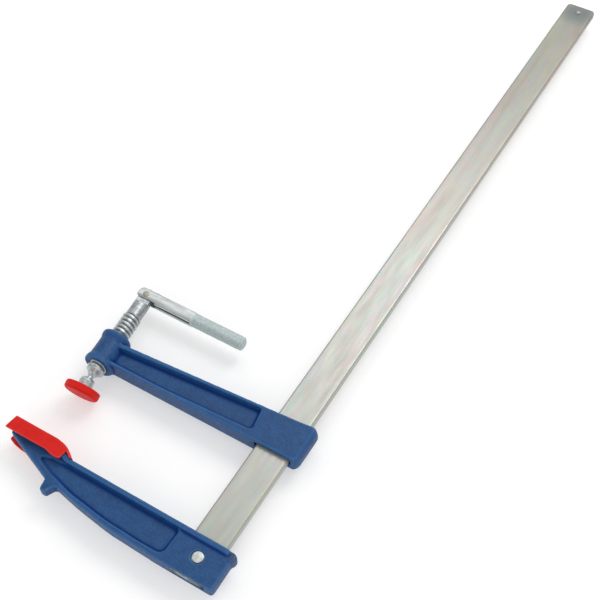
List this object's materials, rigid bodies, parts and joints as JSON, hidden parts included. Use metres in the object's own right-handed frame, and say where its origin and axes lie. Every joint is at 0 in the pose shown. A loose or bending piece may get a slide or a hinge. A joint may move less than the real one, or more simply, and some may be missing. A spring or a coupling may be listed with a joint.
{
  "type": "f clamp",
  "caption": "Bar clamp with a flat steel rail, a fixed cast jaw, a sliding cast arm, a threaded spindle with a swivel pad and a folding steel handle.",
  "frame": {"origin": "centre of the fixed jaw's clamping face", "axes": "+Y is the clamping face's normal and runs along the bar to its free end, +X points from the jaws' tips to the bar, +Z is normal to the bar's wide face"},
  "size_m": [0.2214, 0.7351, 0.0314],
  "materials": {
    "zinc_bar": "zinc plate with a faint rainbow tint",
    "zinc_small": "plain zinc plate",
    "blue_paint": "semi-gloss blue enamel on a casting",
    "red_plastic": "semi-gloss red moulding",
    "zinc_spindle": "zinc plate",
    "zinc_handle": "zinc plate, slightly blue",
    "yellow_zinc": "yellow zinc"
  },
  "bodies": {
    "frame": {"bar": "zinc_bar", "bar_stop_pin": "zinc_small", "fixed_jaw": "blue_paint", "jaw_rivet": "zinc_small", "jaw_cap": "red_plastic"},
    "slider": {"sliding_arm": "blue_paint"},
    "pad": {"swivel_pad": "zinc_spindle", "pad_cap": "red_plastic"},
    "screw": {"spindle": "zinc_spindle"},
    "crank": {"handle": "zinc_handle", "handle_rivet": "yellow_zinc", "detent_spring": "zinc_small"}
  },
  "joints": [
    {"name": "arm_slide", "type": "slide", "parent": "frame", "child": "slider", "axis": [0, 1, 0], "range_m": [-0.0175, 0.567]},
    {"name": "screw_feed", "type": "slide", "parent": "slider", "child": "pad", "axis": [0.0819, -0.9966, 0], "range_m": [0, 0.024]},
    {"name": "spindle_turn", "type": "hinge", "parent": "pad", "child": "screw", "pos_m": [0.00144, 0.0572, 0], "axis": [0.0819, -0.9966, 0], "range_deg": [0, 2160]},
    {"name": "handle_fold", "type": "hinge", "parent": "screw", "child": "crank", "pos_m": [-0.00652, 0.15397, 0], "axis": [0, 0, 1], "range_deg": [0, 94.7]}
  ],
  "couplings": [
    {"joint": "screw_feed", "follows": "spindle_turn", "m_per_rad": 0.00063662}
  ]
}
